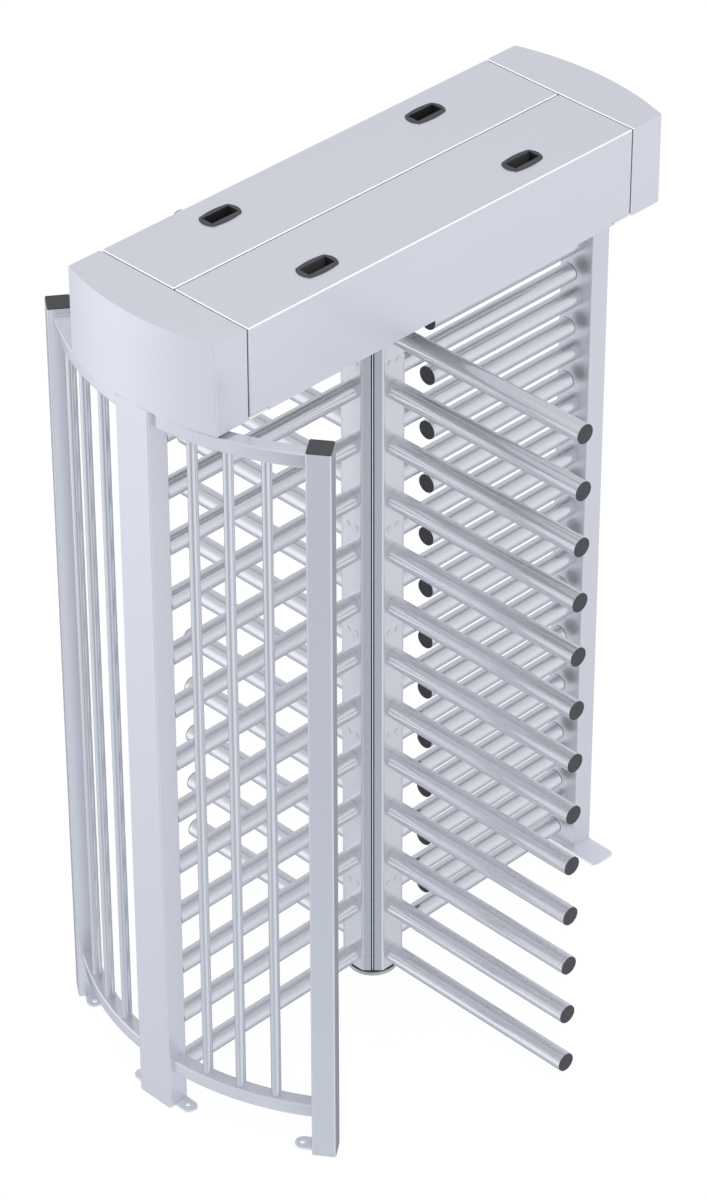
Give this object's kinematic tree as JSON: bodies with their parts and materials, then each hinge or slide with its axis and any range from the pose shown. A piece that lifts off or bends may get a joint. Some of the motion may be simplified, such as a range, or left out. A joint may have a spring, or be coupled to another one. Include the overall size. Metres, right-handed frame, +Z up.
{
  "type": "full-height turnstile",
  "caption": "Full-height turnstile with a four-wing rotor of horizontal arms turning between a curved cage and a fixed comb, under a long round-ended canopy.",
  "frame": {"origin": "on the floor, on the axis that the rotor turns about", "axes": "+Z up, -Y towards the approach side, -X towards the curved cage, +X towards the comb"},
  "size_m": [1.537, 1.351, 2.303],
  "materials": {
    "satin_steel": "satin stainless steel sheet",
    "brushed_tube": "ground stainless steel tube",
    "rotor_steel": "satin stainless steel profile",
    "plain_steel": "plain stainless steel",
    "black_plastic": "matt black plastic"
  },
  "bodies": {
    "housing": {"main_post": "satin_steel", "main_post_tabs": "plain_steel", "end_post_front": "satin_steel", "end_post_rear": "satin_steel", "end_post_tab_front": "plain_steel", "end_post_tab_rear": "plain_steel", "post_cap_front": "black_plastic", "post_cap_rear": "black_plastic", "top_band_front": "satin_steel", "top_band_rear": "satin_steel", "bottom_band_front": "satin_steel", "bottom_band_rear": "satin_steel", "band_spigots": "plain_steel", "cage_bars_front": "brushed_tube", "cage_bars_rear": "brushed_tube", "comb_post": "satin_steel", "comb_foot": "plain_steel", "comb_tubes": "brushed_tube", "comb_caps": "black_plastic", "canopy_pan": "satin_steel", "cover_front": "satin_steel", "cover_rear": "satin_steel", "end_cap_cage": "satin_steel", "end_cap_comb": "satin_steel", "handles_front": "black_plastic", "handles_rear": "black_plastic", "top_bearing": "plain_steel", "floor_bearing": "plain_steel"},
    "rotor": {"rotor_base": "rotor_steel", "rotor_core": "rotor_steel", "rotor_boxes": "rotor_steel", "rotor_profiles": "rotor_steel", "rotor_fins": "rotor_steel", "rotor_top": "rotor_steel", "rotor_screws": "rotor_steel", "arms_front": "brushed_tube", "arms_rear": "brushed_tube", "arms_cage": "brushed_tube", "arms_comb": "brushed_tube", "arm_caps_front": "black_plastic", "arm_caps_rear": "black_plastic", "arm_caps_cage": "black_plastic", "arm_caps_comb": "black_plastic"}
  },
  "joints": [
    {"name": "rotor_turn", "type": "hinge", "parent": "housing", "child": "rotor", "pos_m": [0, 0, 0], "axis": [0, 0, 1], "continuous": true}
  ]
}
